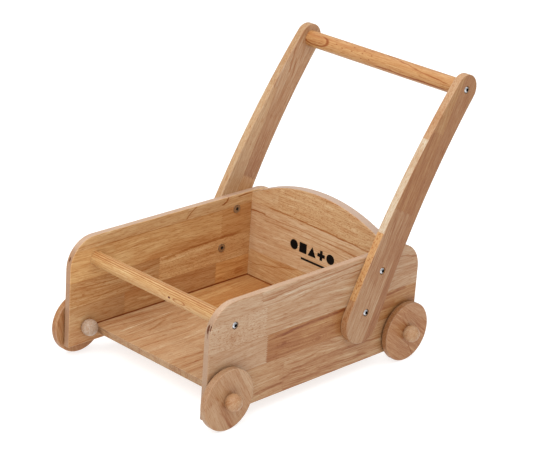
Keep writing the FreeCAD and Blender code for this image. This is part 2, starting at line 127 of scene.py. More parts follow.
def feed(tree, slot, value):
    if isinstance(value, Wire):
        tree.links.new(value.socket, slot)
    else:
        slot.default_value = value


def combine(tree, x, y, z):
    node = tree.nodes.new("ShaderNodeCombineXYZ")
    for slot, value in zip(node.inputs, (x, y, z)):
        feed(tree, slot, value)
    return Wire(tree, node.outputs[0])


def split(tree, vector):
    node = tree.nodes.new("ShaderNodeSeparateXYZ")
    feed(tree, node.inputs[0], vector)
    return [Wire(tree, socket) for socket in node.outputs]


def noise(tree, x, y, z, detail=2.0, roughness=0.5, distortion=0.0):
    """Fractal noise from 0 to 1 at a point whose coordinates are already scaled."""
    node = tree.nodes.new("ShaderNodeTexNoise")
    feed(tree, node.inputs["Vector"], combine(tree, x, y, z))
    node.inputs["Scale"].default_value = 1.0
    node.inputs["Detail"].default_value = detail
    node.inputs["Roughness"].default_value = roughness
    node.inputs["Distortion"].default_value = distortion
    return Wire(tree, node.outputs["Fac"])


def mix(tree, amount, a, b, kind="RGBA"):
    """Colour (or vector) a at amount 0 and b at amount 1."""
    node = tree.nodes.new("ShaderNodeMix")
    node.data_type = kind
    first = {"FLOAT": 2, "VECTOR": 4, "RGBA": 6}[kind]
    feed(tree, node.inputs[0], amount)
    feed(tree, node.inputs[first], a)
    feed(tree, node.inputs[first + 1], b)
    return Wire(tree, node.outputs[{"FLOAT": 0, "VECTOR": 1, "RGBA": 2}[kind]])


def multiply(tree, a, b):
    node = tree.nodes.new("ShaderNodeMix")
    node.data_type = "RGBA"
    node.blend_type = "MULTIPLY"
    for slot, value in zip((0, 6, 7), (1.0, a, b)):
        feed(tree, node.inputs[slot], value)
    return Wire(tree, node.outputs[2])


def blank_material(name):
    """A new material, its tree, its texture coordinates and its point in metres."""
    material = bpy.data.materials.new(name)
    material.use_nodes = True
    tree = material.node_tree
    tree.nodes.clear()
    coordinates = tree.nodes.new("ShaderNodeTexCoord")
    point = split(tree, Wire(tree, coordinates.outputs["Object"]))
    return material, tree, coordinates, point


def in_mm(point):
    return [p * (1 / MM) for p in point]


def make_group(name, inputs, outputs, build):
    """A shader node group; build gets its inputs as wires and returns its outputs."""
    tree = bpy.data.node_groups.new(name, "ShaderNodeTree")
    kinds = {"f": "NodeSocketFloat", "c": "NodeSocketColor", "v": "NodeSocketVector"}
    for label in inputs:
        tree.interface.new_socket(label[2:], in_out="INPUT", socket_type=kinds[label[0]])
    for label in outputs:
        tree.interface.new_socket(label[2:], in_out="OUTPUT", socket_type=kinds[label[0]])
    source = tree.nodes.new("NodeGroupInput")
    sink = tree.nodes.new("NodeGroupOutput")
    wires = [Wire(tree, socket) for socket in source.outputs[: len(inputs)]]
    for slot, value in zip(sink.inputs, build(tree, *wires)):
        feed(tree, slot, value)
    return tree


def use(tree, group, *values):
    """A copy of a node group fed with values; returns its outputs."""
    node = tree.nodes.new("ShaderNodeGroup")
    node.node_tree = group
    for slot, value in zip(node.inputs, values):
        feed(tree, slot, value)
    return [Wire(tree, socket) for socket in node.outputs]


# ---------------------------------------------------------------- wood


def build_block(tree, u, v, u_low, u_high, v_low, v_high, finger):
    """Inside one glued block: 1 within it, and its seam just inside its border.
    Its ends are finger joints, with teeth of length finger along the grain."""
    tooth = (v / TOOTH_PITCH).fraction() - 0.5
    jag = u + (tooth.size() - 0.25) * finger * 2.0
    ends = (jag - u_low).least(u_high - jag)
    sides = (v - v_low).least(v_high - v)
    depth = ends.least(sides)
    inside = depth.ramp(-0.12, 0.12)
    seam = inside * (1.0 - depth.ramp(0.05, 0.55))
    return inside, seam


def build_grain(tree, u, v, w, seed, density, hue, streak, fleck, extra):
    """Rubberwood at a point in mm, u along the grain: growth lines about a leaning pith,
    colour streaks, fibres, pores like short dark dashes, and flecks. Density 0 is the
    palest wood and 1 a brown block."""
    shift = seed * 17.3
    sway = noise(tree, u * 0.006 + shift, v * 0.02 + shift, w * 0.02, 1.0) - 0.5
    lean = (seed * 3.7).math("SINE") * 0.045
    side = v + sway * 22.0 + lean * u
    pith_v = (seed * 12.9).math("SINE") * 34.0
    pith_w = (seed * 7.1).math("SINE").size() * 22.0 + 10.0
    from_pith = ((side - pith_v).math("POWER", 2.0) + (w - pith_w).math("POWER", 2.0)).math("SQRT")
    uneven = noise(tree, u * 0.004, side * 0.07, w * 0.05 + shift, 2.0) * 5.0
    ring = (from_pith / 6.5 + uneven).fraction()
    line = ring.ramp(0.6, 0.95) * (1.0 - ring.ramp(0.95, 1.0))
    where = noise(tree, u * 0.005 + shift, from_pith * 0.1, shift, 1.0).ramp(0.45, 0.65)
    band = noise(tree, u * 0.0035, from_pith * 0.07 + shift, w * 0.02, 2.0, 0.55) - 0.5
    cloud = noise(tree, u * 0.011, side * 0.19 + shift, w * 0.19, 3.0, 0.6, 0.5) - 0.5
    thread = noise(tree, u * 0.022, side * 0.55 + shift, w * 0.55, 2.0, 0.6) - 0.5
    fibre = noise(tree, u * 0.06 + shift, side * 1.9, w * 1.9, 2.0, 0.6) - 0.5
    pore = noise(tree, u * 0.08, v * 1.1 + shift, w * 1.1, 1.0).ramp(0.58, 0.68)
    spot = noise(tree, u * 0.28, v * 0.6 + shift, w * 0.6, 1.0).ramp(0.55, 0.7)
    figure = band * 1.7 + cloud * 2.1 + thread * 1.5 + line * where * 0.6
    stain = density + streak * figure + thread * 0.8 + fibre * 1.4 + pore * 0.75
    stain = stain + spot * fleck * 0.65 + extra
    kept = (stain * -STAIN).math("EXPONENT")
    kept2 = kept * kept
    colour = multiply(tree, mix(tree, hue, PALE, YELLOW), combine(tree, kept, kept2, kept2 * kept))
    height = fibre * 0.35 - pore * 0.6 - line * where * 0.15
    roughness = 0.43 + fibre * 0.14 + pore * 0.16 - cloud * 0.1
    return colour, height, roughness


def build_streak(tree, u, v, u_a, v_a, u_b, v_b, width, bow):
    """A dark streak from point a to point b, tapering at both ends and wandering a little."""
    span_u = u_b - u_a
    span_v = v_b - v_a
    length2 = span_u.math("POWER", 2.0) + span_v.math("POWER", 2.0)
    length = length2.math("SQRT")
    share = ((u - u_a) * span_u + (v - v_a) * span_v) / length2
    across = ((v - v_a) * span_u - (u - u_a) * span_v) / length
    arch = share * (1.0 - share) * 4.0
    wander = noise(tree, u * 0.03, v * 0.03 + u_a, u_b, 2.0) - 0.5
    off = (across - arch * bow + wander * 5.0).size()
    along = share.ramp(0.0, 0.14) * (1.0 - share.ramp(0.86, 1.0))
    ragged = noise(tree, u * 0.04, v * 0.5, u_a, 3.0) * 1.5 + 0.25
    patchy = noise(tree, u * 0.07, v * 0.8 + u_b, u_a, 2.0).ramp(0.3, 0.6) * 0.5 + 0.5
    return ((1.0 - (off / (width * ragged)).ramp(0.2, 1.0)) * along * patchy,)


def build_knot(tree, u, v, u_0, v_0, radius, stretch):
    """Rings of a small knot or a turned patch of figure; returns its core and its rings."""
    wobble = noise(tree, u * 0.12, v * 0.12, u_0, 2.0) - 0.5
    du = (u - u_0) / stretch
    dv = v - v_0
    away = (du.math("POWER", 2.0) + dv.math("POWER", 2.0)).math("SQRT") / radius + wobble * 0.7
    core = 1.0 - away.ramp(0.25, 0.75)
    rings = ((away * 2.3).fraction() - 0.5).size().ramp(0.25, 0.5) * (1.0 - away.ramp(0.5, 2.2))
    return core, rings


BLOCK = make_group(
    "glued_block",
    ["f:U", "f:V", "f:U low", "f:U high", "f:V low", "f:V high", "f:Finger"],
    ["f:Inside", "f:Seam"],
    build_block,
)
GRAIN = make_group(
    "rubberwood_grain",
    ["f:U", "f:V", "f:W", "f:Seed", "f:Density", "f:Hue", "f:Streak", "f:Fleck", "f:Extra"],
    ["c:Colour", "f:Height", "f:Roughness"],
    build_grain,
)
STREAK = make_group(
    "dark_streak",
    ["f:U", "f:V", "f:U a", "f:V a", "f:U b", "f:V b", "f:Width", "f:Bow"],
    ["f:Streak"],
    build_streak,
)
KNOT = make_group(
    "knot",
    ["f:U", "f:V", "f:U 0", "f:V 0", "f:Radius", "f:Stretch"],
    ["f:Core", "f:Rings"],
    build_knot,
)


class Wood:
    """A wood material being built: grain axes in mm, blocks, streaks and knots, then the shader."""

    def __init__(self, name, axes):
        self.material, self.tree, coordinates, point = blank_material(name)
        self.point = in_mm(point)
        self.normal = split(self.tree, Wire(self.tree, coordinates.outputs["Normal"]))
        self.u, self.v, self.w = axes(*self.point)
        self.seam = None
        self.look = None
        self.style = None
        self.streaks = []
        self.spots = []

    def blocks(self, strips, finger=3.6, mask=None):
        """Strips across the board, each (low, high, blocks); a block is (where it ends along
        the grain, seed, density, hue, streak, fleck), and a brightness multiplier if it isn't 1; on the far
        side panel and at the floor's far rear corner this is painted light."""
        tree = self.tree
        for low, high, row in strips:
            start = -BEYOND
            for end, seed, density, hue, streak, fleck, *tone in row:
                inside, seam = use(tree, BLOCK, self.u, self.v, start, end, low, high, finger)
                if mask is not None:
                    inside = inside * mask
                    seam = seam * mask
                look = (seed, density, hue)
                style = (streak, fleck, tone[0] if tone else 1.0)
                if self.look is None:
                    self.look = look
                    self.style = style
                    self.seam = seam
                else:
                    self.look = mix(tree, inside, self.look, look, "VECTOR")
                    self.style = mix(tree, inside, self.style, style, "VECTOR")
                    if mask is None:
                        self.seam = self.seam.most(seam)
                    else:
                        self.seam = self.seam * (1.0 - inside) + seam
                start = end

    def streak(self, a, b, width, strength, bow=0.0):
        made = use(self.tree, STREAK, self.u, self.v, *a, *b, width, bow)
        self.streaks.append(made[0] * strength)

    def knot(self, centre, radius, strength, stretch=1.6, heart=0.8):
        """A knot, dark at its heart, or with heart 0 just a turned patch of figure."""
        core, rings = use(self.tree, KNOT, self.u, self.v, *centre, radius, stretch)
        self.streaks.append((core * heart).most(rings * 0.45) * strength)

    def end_spot(self, centre, across, up, strength=1.0):
        """A dark spot in the end grain of the front edge, at x and height."""
        x, y, z = self.point
        flat = self.normal[1].math("MULTIPLY", -1.0).ramp(0.5, 0.8)
        wobble = noise(self.tree, x * 0.5, y * 0.5, z * 0.25, 2.0) - 0.5
        off_x = (x - centre[0] + wobble * 1.5) / across
        off_z = (z - centre[1]) / up
        away = (off_x * off_x + off_z * off_z).math("SQRT") + wobble * 0.8
        self.spots.append((1.0 - away.ramp(0.5, 1.1)) * flat * strength)

    def floor_seam_shade(self, axis, sign):
        """A painted shade line where the floor meets this board's inner face, standing in for the shadow in
        that seam.
        """
        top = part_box("floor_panel")[1].z / MM
        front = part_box("floor_panel")[0].y / MM
        x, y, z = self.point
        line = (z - top + 0.5).ramp(0.0, 0.3) * (1.0 - (z - top).ramp(0.8, 2.2))
        inner = (self.normal[axis] * sign).ramp(0.5, 0.9)
        self.streaks.append(line * inner * (y - front).ramp(0.0, 2.0) * 1.1)

    def finish(
        self, thickness_axis=None, tint=None, edge=0.0, edge_tint=None, end_axis=None, end_tint=DULL
    ):
        """Ends the tree. thickness_axis is the board's face normal axis: its arrises are painted
        lighter, and its edges too, by edge, partly as sanded wear and partly as painted highlight.
        end_axis is the axis of its end grain. The tints multiply the board's colour on its faces,
        on its edges and on its end grain; the face tint of the boards facing into the box is partly painted
        light."""
        tree = self.tree
        seed, density, hue = split(tree, self.look) if isinstance(self.look, Wire) else self.look
        streak, fleck, tone = split(tree, self.style) if isinstance(self.style, Wire) else self.style
        extra = 0.0
        for made in self.streaks:
            extra = made * STAIN_AND_SHADE_DENSITY + extra
        if self.seam is not None:
            extra = self.seam * SEAM_STAIN + extra
        if thickness_axis is not None:
            facing = self.normal[thickness_axis].size()
        if end_axis is not None:
            end = self.normal[end_axis].size().ramp(0.6, 0.9)
            x, y, z = self.point
            speck = noise(tree, x * 0.9, y * 0.9, z * 0.9, 1.0).ramp(0.55, 0.75)
            extra = end * (speck * 0.5) + extra
        values = (self.u, self.v, self.w, seed, density, hue, streak, fleck, extra)
        colour, height, roughness = use(tree, GRAIN, *values)
        if self.seam is not None:
            height = height - self.seam * 0.5
            colour = multiply(tree, colour, combine(tree, tone, tone, tone))
        if thickness_axis is not None:
            # Painted highlight and sanded wear: arrises, and edges by edge, are mixed towards pale sanded
            # wood.
            arris = facing.ramp(0.02, 0.35) * (1.0 - facing.ramp(0.7, 0.99))
            patchy = noise(tree, *[p * 0.08 for p in self.point], 2.0).ramp(0.3, 0.75)
            lightened = (arris * (0.12 + patchy * 0.3)).most((1.0 - facing.ramp(0.1, 0.5)) * edge)
            colour = mix(tree, lightened, colour, SANDED_AND_HIGHLIGHT)
            roughness = roughness + arris * 0.08
        for spot in self.spots:
            colour = mix(tree, spot, colour, CHARRED)
        if end_axis is not None:
            colour = multiply(tree, colour, mix(tree, end, (1, 1, 1, 1), end_tint))
        if edge_tint is not None:
            tint = mix(tree, facing.ramp(0.4, 0.7), edge_tint, tint)
        if tint is not None:
            colour = multiply(tree, colour, tint)
        end_shader(tree, colour, roughness, height, 0.05 * MM, specular=0.28)
        return self.material


def end_shader(tree, colour, roughness, height, depth, metallic=0.0, specular=0.5):
    bump = tree.nodes.new("ShaderNodeBump")
    bump.inputs["Distance"].default_value = depth
    feed(tree, bump.inputs["Height"], height)
    shader = tree.nodes.new("ShaderNodeBsdfPrincipled")
    feed(tree, shader.inputs["Base Color"], colour)
    feed(tree, shader.inputs["Roughness"], roughness)
    shader.inputs["Metallic"].default_value = metallic
    shader.inputs["Specular IOR Level"].default_value = specular
    tree.links.new(bump.outputs[0], shader.inputs["Normal"])
    output = tree.nodes.new("ShaderNodeOutputMaterial")
    tree.links.new(shader.outputs[0], output.inputs[0])
    return shader


def dress(node, material):
    """Puts a material on a CAD node."""
    for slot in NODES[node].material_slots:
        slot.link = "OBJECT"
        slot.material = material


# ---------------------------------------------------------------- boards


def side_left_wood():
    wood = Wood("side_wood_left", lambda x, y, z: (y - FRONT, z, x))
    lowest = [(148, 1.0, 0.62, 0.4, 1.0, 0.2), (BEYOND, 2.0, 0.5, 0.4, 1.3, 0.1)]
    lower = [
        (112, 3.0, 0.28, 0.0, 0.5, 0.2),
        (345, 4.0, 1.3, 0.9, 1.2, 0.4),
        (BEYOND, 5.0, 0.95, 0.9, 1.0, 0.2),
    ]
    upper = [
        (108, 6.0, -0.05, 0.0, 0.3, 1.6),
        (338, 7.0, 0.1, 0.1, 0.9, 0.1),
        (BEYOND, 8.0, 0.3, 0.0, 0.8, 0.3),
    ]
    highest = [(96, 9.0, 0.1, 0.0, 0.6, 0.2), (BEYOND, 10.0, 0.15, 0.0, 0.9, 0.2)]
    wood.blocks([(-50, 73, lowest), (73, 115.5, lower), (115.5, 159.5, upper), (159.5, 400, highest)])
    wood.streak((112, 107), (330, 110), 3.2, 0.7, 3)
    wood.streak((108, 162), (345, 166), 1.6, 0.45, 3)
    wood.streak((150, 46), (365, 44), 2.4, 0.5, 5)
    wood.streak((138, 38), (200, 36), 2.2, 0.4, 4)
    wood.streak((150, 58), (225, 62), 2.0, 0.35, -3)
    wood.streak((230, 30), (330, 26), 2.2, 0.35, 3)
    wood.streak((88, 31), (152, 33), 3.0, 0.5)
    wood.streak((116, 131), (250, 137), 3.4, 0.3)
    wood.streak((346, 110), (402, 114), 4.0, 0.6)
    wood.streak((335, 91), (380, 96), 5.0, 0.3)
    wood.streak((96, 169), (330, 178), 1.4, 0.45, 2)
    wood.streak((372, 168), (423, 158), 2.2, 0.45)
    wood.knot((45, 130), 15.0, 0.36, 1.0, heart=0.5)
    wood.knot((145, 94), 5.0, 0.6, 2.0)
    wood.knot((172, 84), 5.0, 0.5, 2.6, heart=0.2)
    wood.knot((215, 82), 6.0, 0.6, 2.2, heart=0.4)
    wood.knot((262, 97), 5.0, 0.5, 3.0, heart=0.3)
    wood.floor_seam_shade(0, -1.0)
    wood.end_spot((144.2, 153), 2.2, 7.0, 1.6)
    wood.end_spot((148.3, 155), 1.2, 5.0, 1.5)
    wood.end_spot((145.5, 145), 1.8, 8.0, 0.4)
    board_tint = (0.87, 0.87, 0.86, 1)
    return wood.finish(0, board_tint, 0.6, (0.91, 0.87, 0.83, 1), 1, (0.8, 0.79, 0.77, 1))


def side_right_wood():
    wood = Wood("side_wood_right", lambda x, y, z: (y - FRONT, z, -x))
    # Painted light: the block brightnesses paint the inner face darker near the front (0.9) and lighter at
    # the rear (up to 1.17); the lowest rear block's strong yellow hue and brightness paint warm bounce
    # light in the box's rear corner.
    lowest = [
        (105, 11.0, 0.85, 0.2, 0.7, 0.2, 0.9),
        (290, 12.0, 0.75, 0.4, 0.9, 0.2),
        (BEYOND, 13.0, 0.6, 2.0, 1.0, 0.2, 1.17),
    ]
    lower = [(172, 14.0, 0.55, 0.4, 1.0, 0.5, 0.94), (BEYOND, 15.0, 0.15, 0.6, 0.6, 1.2, 1.06)]
    upper = [(298, 16.0, 0.45, 0.7, 0.8, 0.2, 1.05), (BEYOND, 17.0, 0.72, 0.7, 0.5, 0.2, 1.05)]
    highest = [
        (226, 18.0, 0.2, 0.4, 0.6, 0.2),
        (300, 19.0, 0.15, 0.3, 0.5, 0.2),
        (BEYOND, 20.0, 0.2, 0.4, 0.6, 0.2),
    ]
    wood.blocks([(-50, 79, lowest), (79, 118, lower), (118, 165.5, upper), (165.5, 400, highest)])
    wood.streak((165, 113), (345, 121), 3.4, 0.6, 1)
    wood.streak((60, 166), (205, 165), 1.2, 0.4)
    wood.streak((0, 109), (165, 106), 1.8, 0.35, -2)
    wood.streak((222, 166), (246, 183), 1.5, 0.75, 3)
    wood.streak((294, 174), (310, 186), 2.2, 1.0, -4)
    wood.streak((328, 180), (362, 182), 1.8, 0.8)
    wood.knot((25, 96), 3.0, 0.5)
    wood.knot((340, 55), 9.0, 0.3, 2.0)
    wood.floor_seam_shade(0, 1.0)
    wood.end_spot((-145, 155), 1.6, 4.0, 1.2)
    # Partly painted light: this face tint brightens the panel's inner face by about a fifth for light
    # reaching into the box, while its edges keep a tint near 1.
    board_tint = (1.21, 1.24, 1.12, 1)
    return wood.finish(0, board_tint, 0.6, (0.94, 0.93, 0.95, 1), 1, (0.78, 0.68, 0.56, 1))


def back_wood():
    wood = Wood("back_wood", lambda x, y, z: (x, z, y - FRONT))
    lower = [(BEYOND, 21.0, 0.15, 0.8, 0.9, 0.2)]
    upper = [(BEYOND, 22.0, 0.0, 0.3, 0.6, 0.2)]
    highest = [(-82, 23.0, 0.1, 0.5, 0.6, 0.5), (BEYOND, 24.0, 0.0, 0.6, 0.7, 1.6)]
    wood.blocks([(-50, 88, lower), (88, 165, upper), (165, 400, highest)])
    wood.streak((-125, 168), (190, 158), 1.9, 0.75, 3)
    wood.streak((-145, 152), (-106, 154), 1.9, 1.0)
    wood.streak((-90, 155), (90, 156), 1.0, 0.4)
    wood.streak((-130, 150), (140, 140), 1.2, 0.5, 6)
    wood.streak((-130, 143), (150, 128), 1.2, 0.45, 7)
    wood.streak((10, 150), (150, 147), 1.6, 0.5, 1)
    wood.streak((-140, 62), (-25, 90), 1.6, 0.35)
    wood.floor_seam_shade(1, -1.0)
    # Partly painted light: the face tint of 1.1 brightens the back panel's front face for light reaching
    # into the box.
    return wood.finish(1, (1.1, 1.13, 1.13, 1), 1.0, (0.957, 0.945, 0.972, 1))


def floor_wood():
    """Seven strips, and a painted shade line where the floor meets the sides and back, standing in for the
    shadow in those seams.
    """
    wood = Wood("floor_wood", lambda x, y, z: (y - FRONT, x, z))
    # Painted light: the rear blocks of the two strips by the far side panel get a strong yellow hue and
    # brightness 1.1, painting warm bounce light in the box's far rear corner.
    strips = [
        (-200, -105, [(225, 25.0, 0.6, 0.1, 0.9, 0.2), (BEYOND, 26.0, 0.65, 1.8, 0.8, 0.2, 1.1)]),
        (-105, -62, [(190, 27.0, 0.4, 0.1, 0.8, 0.3), (BEYOND, 28.0, 0.95, 1.8, 0.6, 0.2, 1.1)]),
        (-62, -20, [(BEYOND, 29.0, 0.3, 0.1, 0.6, 0.3)]),
        (-20, 25, [(115, 30.0, 0.25, 0.1, 0.5, 0.5), (BEYOND, 31.0, 0.35, 0.1, 0.6, 0.2)]),
        (25, 64, [(110, 32.0, 0.5, 0.2, 0.8, 0.3, 0.95), (BEYOND, 33.0, 0.35, 0.1, 0.6, 0.2)]),
        (64, 104, [(160, 34.0, 0.3, 0.1, 0.6, 0.2, 0.94), (BEYOND, 35.0, 0.5, 0.1, 0.7, 0.2)]),
        (104, 300, [(240, 36.0, 0.4, 0.1, 0.7, 0.3), (BEYOND, 37.0, 0.25, 0.1, 0.6, 0.2)]),
    ]
    wood.blocks(strips)
    wood.streak((50, -95), (184, -106), 1.5, -0.45)
    wood.streak((47, -127), (170, -123), 1.8, 0.35)
    wood.streak((52, -117), (150, -106), 1.6, 0.35)
    wood.streak((60, -84), (172, -99), 1.8, 0.4, -2)
    wood.streak((92, -72), (146, -90), 3.2, 0.4)
    wood.streak((45, -64), (156, -57), 1.8, 0.4)
    wood.streak((140, -74), (172, -70), 3.0, 0.45)
    wood.streak((85, -50), (110, -48), 2.0, 0.4)
    wood.streak((38, -39), (157, -39), 1.6, 0.4)
    wood.streak((55, 21), (118, 25), 2.4, 0.45)
    wood.streak((52, 42), (100, 43), 1.6, 0.4)
    wood.streak((46, 61), (90, 60), 2.2, 0.4)
    low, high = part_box("floor_panel")
    x, y, z = wood.point
    # Painted shade: the floor is darkened in a narrow band along its sides and back, standing in for the
    # shadow in those seams.
    shade_at_sides = x.size().ramp(high.x / MM - 1.6, high.x / MM - 0.3)
    shade_at_back = y.ramp(high.y / MM - 1.6, high.y / MM - 0.3)
    wood.streaks.append(shade_at_sides.most(shade_at_back) * 0.9)
    front = wood.normal[1].math("MULTIPLY", -1.0).ramp(0.5, 0.8)
    layers = noise(wood.tree, x * 0.09 + z * 0.5, z * 0.15, 4.0, 2.0).ramp(0.55, 0.68)
    torn = noise(wood.tree, x * 0.5, z * 1.2, 7.0, 2.0).ramp(0.6, 0.72)
    wood.spots.append(front * (layers * 0.35).most(torn * 0.5))
    return wood.finish(2, (0.95, 0.97, 0.93, 1), end_axis=1)


def arm_axes(side):
    """Grain axes of an arm: along its laminated strips, which lean back from the foot."""
    lean = math.radians(64.5)
    foot_along = 294.5
    foot_height = 90.0

    def axes(x, y, z):
        dy = y - (FRONT + foot_along)
        dz = z - foot_height
        along = dy * math.cos(lean) + dz * math.sin(lean)
        across = dz * math.cos(lean) - dy * math.sin(lean)
        return along, across, x * side

    return axes


def front_edge(wood):
    """1 on an arm's front edge and over its rounded top, 0 on its faces and its rear edge."""
    on_edge = 1.0 - wood.normal[0].size().ramp(0.4, 0.7)
    return on_edge * (wood.normal[1] * -1.0).ramp(-0.5, -0.1)


def arm_left_wood():
    wood = Wood("arm_wood_left", arm_axes(1))
    wood.streak((-10, 4), (150, 10), 5.0, 0.16, 3)
    wood.streak((40, -8), (190, -3), 5.0, 0.16, 3)
    wood.streak((120, 12), (300, 16), 5.0, 0.16, 3)
    wood.streak((200, 4), (330, 2), 5.0, 0.16, 3)
    rear = [(158, 38.0, 1.3, 0.1, 0.7, 0.2), (BEYOND, 39.0, 1.0, 0.3, 0.6, 0.2)]
    middle = [
        (168, 40.0, 0.85, 0.0, 1.0, 0.2),
        (290, 41.0, 1.15, 0.6, 0.8, 0.2),
        (BEYOND, 42.0, 0.85, 0.8, 0.8, 0.2),
    ]
    wood.blocks([(-200, -16, rear), (-16, 200, middle)])
    foot = (24, 43.0, 0.75, 0.2, 0.3, 1.4)
    speckled = (129, 44.0, 0.35, 1.2, 0.3, 2.2, 1.13)
    palest = (277, 45.0, -0.5, 0.2, 0.3, 0.0, 0.92)
    top = (BEYOND, 46.0, 0.35, 0.2, 0.3, 0.8)
    wood.blocks([(-60, 200, [foot, speckled, palest, top])], finger=0.5, mask=front_edge(wood))
    return wood.finish(0, (0.82, 0.82, 0.79, 1), edge_tint=(0.92, 0.94, 0.95, 1))


def arm_right_wood():
    wood = Wood("arm_wood_right", arm_axes(-1))
    wood.streak((300, -12), (345, -4), 2.6, 0.45)
    wood.streak((296, -20), (330, -15), 2.0, 0.4)
    wood.knot((152, -18), 9.0, 0.35, 2.5, heart=0.5)
    rear = [(130, 47.0, 0.4, 0.6, 0.5, 0.2, 1.12), (BEYOND, 48.0, 0.62, 0.1, 0.9, 0.2)]
    middle = [(273, 50.0, 0.05, 0.4, 0.5, 0.2, 1.03), (BEYOND, 51.0, 0.45, 0.0, 0.9, 0.2)]
    wood.blocks([(-200, 2, rear), (2, 200, middle)])
    pale = (276, 52.0, 0.12, 0.3, 0.4, 0.2, 1.05)
    top = (BEYOND, 53.0, 0.3, 0.3, 0.4, 0.8)
    wood.blocks([(-60, 200, [pale, top])], finger=0.5, mask=front_edge(wood))
    return wood.finish(0, (0.94, 0.94, 0.93, 1), edge_tint=(0.87, 0.92, 0.93, 1))


# ---------------------------------------------------------------- round stock and turned pieces


def centre_of(node):
    """The middle of a CAD node's box, in mm."""
    low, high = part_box(node)
    return (low + high) / 2 / MM


def rod_wood(name, node, lean, density, hue, period, seed, line_strength):
    """Dowel stock along X: growth layers cross it at a slant, so they show as long lines."""
    centre = centre_of(node)
    wood = Wood(name, lambda x, y, z: (x, y - centre.y, z - centre.z))
    tree = wood.tree
    wood.look = (seed, density, hue)
    wood.style = (0.8, 0.2, 1.0)
    layer = wood.v * math.sin(lean) + wood.w * math.cos(lean)
    drift = noise(tree, wood.u * 0.004 + seed, layer * 0.03, seed, 1.0) * 9.0
    phase = ((layer + drift + wood.u * 0.006) / period).fraction()
    line = phase.ramp(0.45, 0.9) * (1.0 - phase.ramp(0.9, 1.0))
    uneven = noise(tree, wood.u * 0.01, layer * 0.35, seed, 2.0).ramp(0.35, 0.62)
    wood.streaks.append(line * uneven * line_strength)
    return wood


def rail_wood():
    """Yellow pine with strong growth lines along its upper front, a small knot and an oval ring."""
    wood = rod_wood("rail_wood", "front_rail", 0.9, -0.05, 1.2, 4.6, 3.3, 0.15)
    tree = wood.tree
    wood.style = (0.5, 0.3, 1.0)
    turn = wood.w.math("ARCTAN2", -wood.v) * math.degrees(1.0)
    sway = noise(tree, wood.u * 0.01, 3.0, 5.0, 1.0) * 6.0 - 3.0
    growth_lines = (
        (36.0, 4.0, 0.45),
        (50.0, 4.5, 0.6),
        (69.0, 6.0, 0.65),
        (88.0, 8.0, 0.5),
        (6.0, 2.5, 0.2),
    )
    for place, width, strength in growth_lines:
        off = (turn + sway + wood.u * 0.02 - place).size()
        rough = noise(tree, wood.u * 0.05, turn * 0.1, place, 2.0) * 0.5 + 0.75
        wood.streaks.append((1.0 - (off / (width * rough)).ramp(0.2, 1.0)) * strength)
    around = turn * RAIL_MM_PER_DEGREE
    knot_and_ring = ((29.0, 2.6, 1.6, 3.2, 0.0), (49.0, 2.6, 4.4, 0.0, 0.6))
    for u_0, radius, stretch, heart, ring in knot_and_ring:
        off_u = (wood.u - u_0) / stretch
        off_v = around - 1.0
        away = (off_u * off_u + off_v * off_v).math("SQRT") / radius
        core = 1.0 - away.ramp(0.2, 0.7)
        outline = away.ramp(0.7, 0.95) * (1.0 - away.ramp(0.98, 1.25))
        wood.streaks.append(core * heart + outline * ring)
    return wood.finish(tint=(0.91, 0.89, 0.82, 1))


def bar_wood():
    """Beech-like dowel: an oval of darker wood at its right end, short pores, two slanting lines and a
    painted shade line along its lower front.
    """
    wood = rod_wood("handle_wood", "handle_bar", 0.5, 0.4, 1.3, 9.0, 8.1, 0.2)
    tree = wood.tree
    wood.style = (0.55, 0.2, 1.0)
    around = wood.w.math("ARCTAN2", -wood.v) * BAR_RADIUS
    off_u = (wood.u + 130) * 0.365
    off_v = around - 5.2
    oval = (off_u * off_u + off_v * off_v).math("SQRT")
    outline = oval.ramp(7.6, 9.0) * (1.0 - oval.ramp(9.2, 11.0))
    lower_half = (wood.u * 0.3 - around).ramp(-53.0, -42.0)
    wood.streaks.append(outline * (lower_half * 0.75 + 0.15) + (1.0 - oval.ramp(5.0, 9.0)) * 0.15)
    pores = [(-87, 8), (-74, 5), (-73, 17), (-54, 5), (-53, 12.5)]
    pores += [(-34, -1), (-33, 7), (-32, 12), (-18, 1), (-15, 8)]
    for u_0, v_0 in pores:
        off_u = (wood.u - u_0) / 2.2
        away = (off_u * off_u + (around - v_0) * (around - v_0)).math("SQRT")
        wood.streaks.append((1.0 - away.ramp(0.3, 1.1)) * 0.8)
    lines = (
        ((2, 21), (78, 9), 1.3, 0.6),
        ((62, 10.5), (142, 3), 1.3, 0.6),
        # Painted shade: the third line, along the lower front of the bar, stands in for the shading there.
        ((-14, -5.5), (140, -6), 2.4, 0.85),
    )
    for a, b, width, strength in lines:
        made = use(tree, STREAK, wood.u, around, *a, *b, width, 0.0)
        wood.streaks.append(made[0] * strength)
    return wood.finish(tint=(0.99, 0.97, 0.94, 1))


def wheel_wood(node, angle, strips):
    """A wheel cut from a laminated board whose grain lies at angle in the wheel's plane."""
    centre = centre_of(node)
    turn = math.radians(angle)

    def axes(x, y, z):
        dy = y - centre.y
        dz = z - centre.z
        along = dy * math.cos(turn) + dz * math.sin(turn)
        across = dz * math.cos(turn) - dy * math.sin(turn)
        return along, across, x

    wood = Wood(node + "_wood", axes)
    wood.blocks(strips)
    return wood


